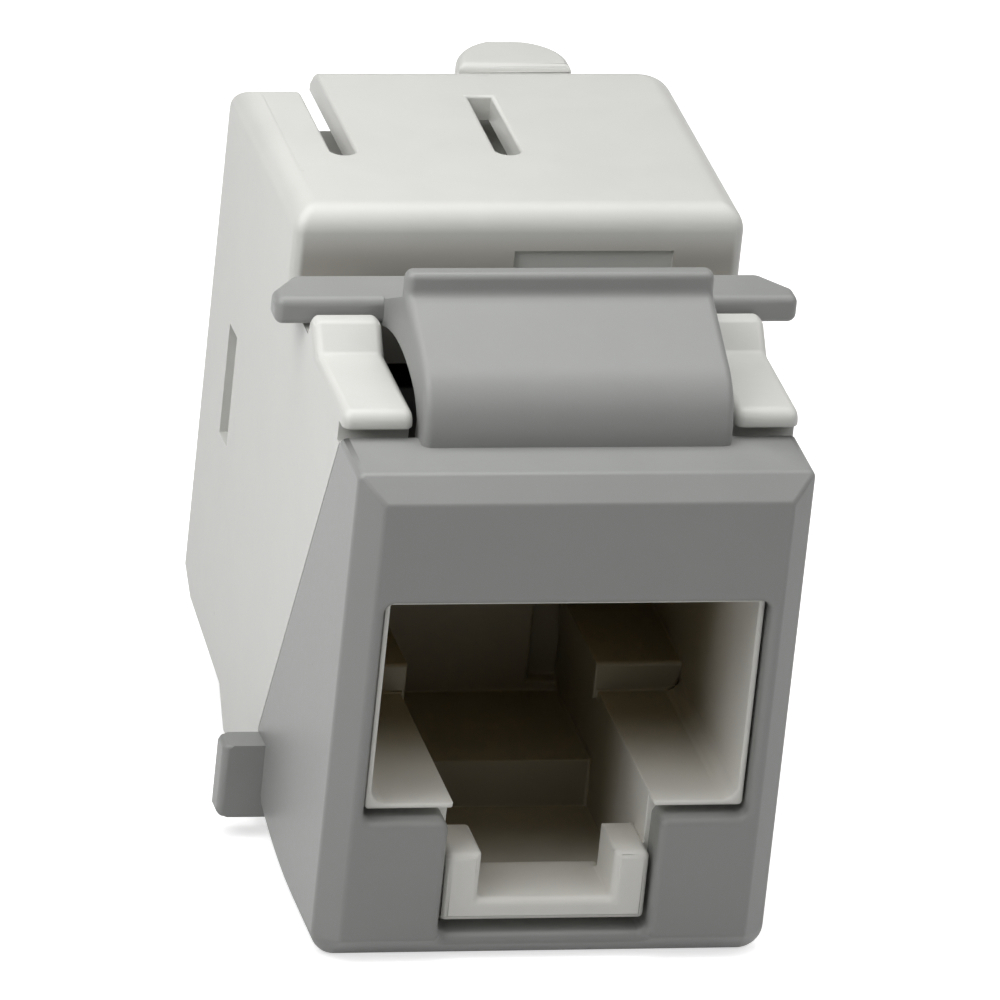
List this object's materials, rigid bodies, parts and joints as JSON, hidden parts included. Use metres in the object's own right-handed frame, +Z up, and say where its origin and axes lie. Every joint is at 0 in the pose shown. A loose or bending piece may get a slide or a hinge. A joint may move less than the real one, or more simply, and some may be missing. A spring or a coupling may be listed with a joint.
{
  "type": "keystone jack",
  "caption": "Snap-in RJ45 socket with a bevelled square bezel, a spring latch with cross bar on top, a stepped rear housing and a push-on wire cap.",
  "frame": {"origin": "bottom centre edge of the bezel's front face, the reference point in the panel's opening", "axes": "+X to the right seen from the front, +Y towards the rear along the plug's way in, +Z up towards the latch"},
  "size_m": [0.0172, 0.0249, 0.0205],
  "materials": {
    "bezel_plastic": "fine satin moulding, mid grey",
    "housing_plastic": "fine satin moulding, light warm grey",
    "insert_plastic": "smooth moulding, light grey",
    "carrier_plastic": "smooth moulding, dark grey",
    "board": "solder mask, green",
    "gold_contact": "gold plating",
    "tinned_blade": "bright tin plating"
  },
  "bodies": {
    "jack": {"front_housing": "bezel_plastic", "rear_housing": "housing_plastic", "port_insert": "insert_plastic", "contact_carrier": "carrier_plastic", "circuit_board": "board", "wire_block": "insert_plastic", "contact_1": "gold_contact", "contact_2": "gold_contact", "contact_3": "gold_contact", "contact_4": "gold_contact", "contact_5": "gold_contact", "contact_6": "gold_contact", "contact_7": "gold_contact", "contact_8": "gold_contact", "wire_blade_1": "tinned_blade", "wire_blade_2": "tinned_blade", "wire_blade_3": "tinned_blade", "wire_blade_4": "tinned_blade", "wire_blade_5": "tinned_blade", "wire_blade_6": "tinned_blade", "wire_blade_7": "tinned_blade", "wire_blade_8": "tinned_blade"},
    "cap": {"wire_cap": "housing_plastic"}
  },
  "joints": [
    {"name": "wire_cap_slide", "type": "slide", "parent": "jack", "child": "cap", "axis": [0, 1, 0], "range_m": [0, 0.008]}
  ]
}
